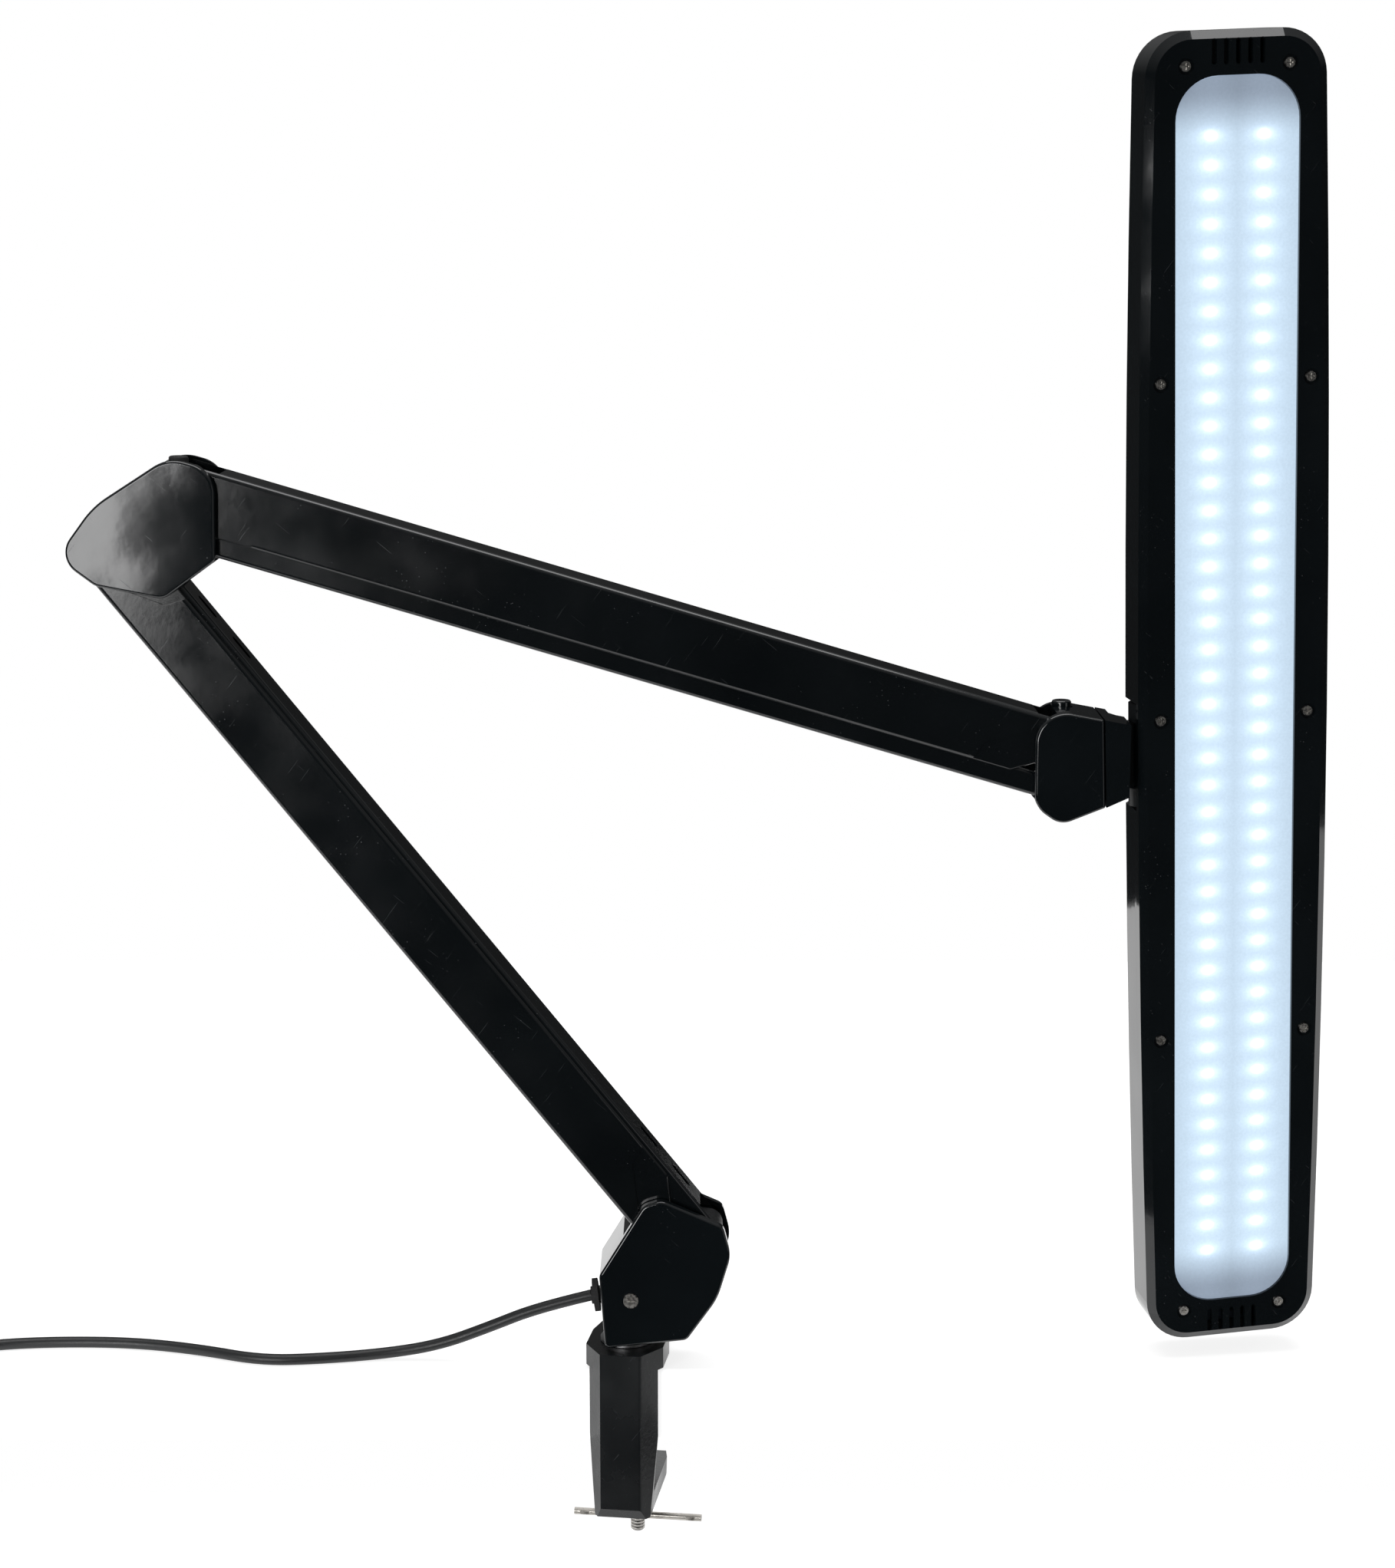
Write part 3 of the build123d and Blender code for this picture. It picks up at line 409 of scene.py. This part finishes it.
def cord_skin():
    """Soft black sheath: a fine grain, and dust that sits in it."""
    s = Shading("cord_skin")
    grain = s.noise(1600, 3)
    dust = s.times(s.specks(700, 0.09), 0.2)
    s.set("Base Color", s.mixed(dust, (0.012, 0.013, 0.014), (0.2, 0.2, 0.2)))
    s.set("Roughness", s.ranged(grain, 0.3, 0.7, 0.34, 0.50))
    s.bump(grain, 0.10, 0.0003)
    return s.material


SPRING_WIRE = 0.0014
SCREW_PITCH = 0.0015
SPRING_STEEL = (0.50, 0.50, 0.51)
MATERIALS = {
    "black_gloss": gloss_black(
        "black_moulding", (0.0030, 0.0045, 0.0055), (0.04, 0.09), (150, 0.03), 1.5, 0.25
    ),
    "black_paint": gloss_black(
        "black_enamel", (0.0028, 0.0040, 0.0048), (0.09, 0.20), (260, 0.05), 0.8, 0.2
    ),
    "clamp_paint": gloss_black(
        "clamp_enamel", (0.0060, 0.0070, 0.0078), (0.22, 0.38), (520, 0.12), 0.3, 0.0, 0.3
    ),
    "steel": metal("plated_steel", (0.48, 0.48, 0.49), (0.26, 0.44), (1500, 80, 1500)),
    "nickel": metal("nickel", (0.72, 0.70, 0.66), (0.20, 0.36)),
    "casting": matte(
        "dark_casting", (0.012, 0.013, 0.014), (0.42, 0.62), 700, 0.25, specular=0.25
    ),
    "nylon": matte("nylon", (0.62, 0.60, 0.54), (0.42, 0.58), 900, 0.08),
    "rubber": matte("rubber", (0.016, 0.016, 0.017), (0.62, 0.82), 1400, 0.30),
    "lens": lit_lens(),
    "tray": matte("white_enamel", (0.78, 0.80, 0.82), (0.28, 0.40), 500, 0.05, 0.94),
    "board": matte("white_board", (0.80, 0.82, 0.84), (0.35, 0.50), 900, 0.08, 0.93),
    "green_board": matte("green_board", (0.02, 0.11, 0.05), (0.30, 0.45), 900, 0.10),
    "led": lit_chip(),
    "cord": cord_skin(),
    "brass": metal("brass", (0.66, 0.48, 0.22), (0.22, 0.38), (200, 2000, 200)),
    "alloy": metal("die_cast_alloy", (0.30, 0.30, 0.31), (0.34, 0.52)),
}
satin_nickel = metal("satin_nickel", (0.42, 0.40, 0.37), (0.26, 0.42))
# Nodes that look different from the rest of their slot.
SPECIAL = {
    "tommy_bar": satin_nickel,
    "pressure_pad": satin_nickel,
    "head_hinge_bracket": MATERIALS["clamp_paint"],
    "clamp_screw": striped_metal("screw_thread", (0.60, 0.58, 0.55), (0, 0, 1), SCREW_PITCH),
    "lower_spring": striped_metal("lower_coils", SPRING_STEEL, LOWER_ALONG, SPRING_WIRE),
    "upper_spring": striped_metal("upper_coils", SPRING_STEEL, UPPER_ALONG, SPRING_WIRE),
    "elbow_adjuster": MATERIALS["rubber"],
}
SHARP = math.radians(28)  # edges above this angle stay sharp

cord.data.materials.append(MATERIALS["cord"])
slots = {row["node"]: row["material_slot"] for row in frame["record"]["subparts"]}
for name, node in frame["nodes"].items():
    node.data.materials.clear()
    node.data.materials.append(SPECIAL.get(name, MATERIALS[slots[name]]))
    node.data.shade_smooth()
    node.data.set_sharp_from_angle(angle=SHARP)


# ---------------------------------------------------------------- stage and lights
def pale(name, color, glow):
    """Plain paper that stays near white where the lights don't reach."""
    s = Shading(name)
    grain = s.ranged(s.noise(60, 3), 0.3, 0.7, 0, 1)
    s.set("Base Color", s.mixed(grain, color, tuple(c * 0.985 for c in color)))
    s.set("Roughness", 0.9)
    s.set("Emission Color", (1, 1, 1))
    s.set("Emission Strength", glow)
    return s.material


def block(name, low, high, material):
    """A stage block with softened edges."""
    corners = list(itertools.product(*zip(low, high)))
    faces = [
        (0, 1, 3, 2),
        (4, 6, 7, 5),
        (0, 4, 5, 1),
        (2, 3, 7, 6),
        (0, 2, 6, 4),
        (1, 5, 7, 3),
    ]
    mesh = bpy.data.meshes.new(name)
    mesh.from_pydata(corners, [], faces)
    mesh.materials.append(material)
    made = bpy.data.objects.new(name, mesh)
    scene.collection.objects.link(made)
    edge = made.modifiers.new("edge", "BEVEL")
    edge.width = 0.0015
    edge.segments = 3
    return made


# The clamp grips the table's front edge. The floor ends in front of the lamp, where
# the black faces would mirror it.
paper = pale("pale_stage", (0.55, 0.55, 0.55), 0.80)
block("stage_table", (-1.4, -0.0088, -0.0328), (1.4, 0.75, -0.0001), paper)
block("stage_floor", (-1.7, -1.1, -0.83), (1.7, 1.7, -0.80), paper)


def softbox(name, place, aim, width, height, brightness, roll=0.0):
    """An area light whose face has that brightness, as the gloss shows it."""
    data = bpy.data.lights.new(name, "AREA")
    data.shape = "RECTANGLE"
    data.size = width
    data.size_y = height
    data.energy = math.pi * width * height * brightness
    made = bpy.data.objects.new(name, data)
    made.location = place
    made.rotation_mode = "QUATERNION"
    facing = (Vector(aim) - Vector(place)).to_track_quat("-Z", "Y")
    made.rotation_quaternion = facing @ Quaternion((0, 0, 1), math.radians(roll))
    made.visible_camera = False
    scene.collection.objects.link(made)
    return made


def studio():
    """Surroundings that are dim low down and paler overhead, on plain white."""
    world = bpy.data.worlds.new("studio")
    scene.world = world
    world.use_nodes = True
    nodes, links = world.node_tree.nodes, world.node_tree.links
    parts = nodes.new("ShaderNodeSeparateXYZ")
    links.new(nodes.new("ShaderNodeTexCoord").outputs["Generated"], parts.inputs["Vector"])
    overhead = nodes.new("ShaderNodeMapRange")
    sockets = ("From Min", "From Max", "To Min", "To Max")
    for socket, number in zip(sockets, (0.10, 0.95, 0.02, 0.40)):
        overhead.inputs[socket].default_value = number
    links.new(parts.outputs["Z"], overhead.inputs["Value"])
    seen = nodes.new("ShaderNodeLightPath").outputs["Is Camera Ray"]
    level = nodes.new("ShaderNodeMath")
    level.operation = "MAXIMUM"
    links.new(overhead.outputs["Result"], level.inputs[0])
    links.new(seen, level.inputs[1])
    background = nodes["Background"]
    background.inputs["Color"].default_value = (1, 1, 1, 1)
    links.new(level.outputs[0], background.inputs["Strength"])


softbox("top_light", (0.0, 0.1, 1.9), (0.0, 0.0, 0.2), 1.6, 1.1, 3.2)
# Its edge crosses the elbow's cover, which mirrors it.
softbox("left_light", (-1.05, -2.0, 0.42), (-0.24, 0.0, 0.30), 1.1, 1.0, 7.0, -20)
softbox("right_light", (2.3, -1.5, 0.3), (0.26, 0.0, 0.3), 0.9, 1.6, 0.8)
studio()


# ---------------------------------------------------------------- finish
def cord_length():
    """The length of the cord's own line, without its thickness."""
    data = cord.data.copy()
    data.bevel_depth = 0
    bare = bpy.data.objects.new("bare", data)
    line = bpy.data.meshes.new_from_object(bare)
    points = [vertex.co for vertex in line.vertices]
    total = sum((points[a] - points[b]).length for a, b in (e.vertices for e in line.edges))
    bpy.data.objects.remove(bare)
    return total


round(cord_length(), 2)
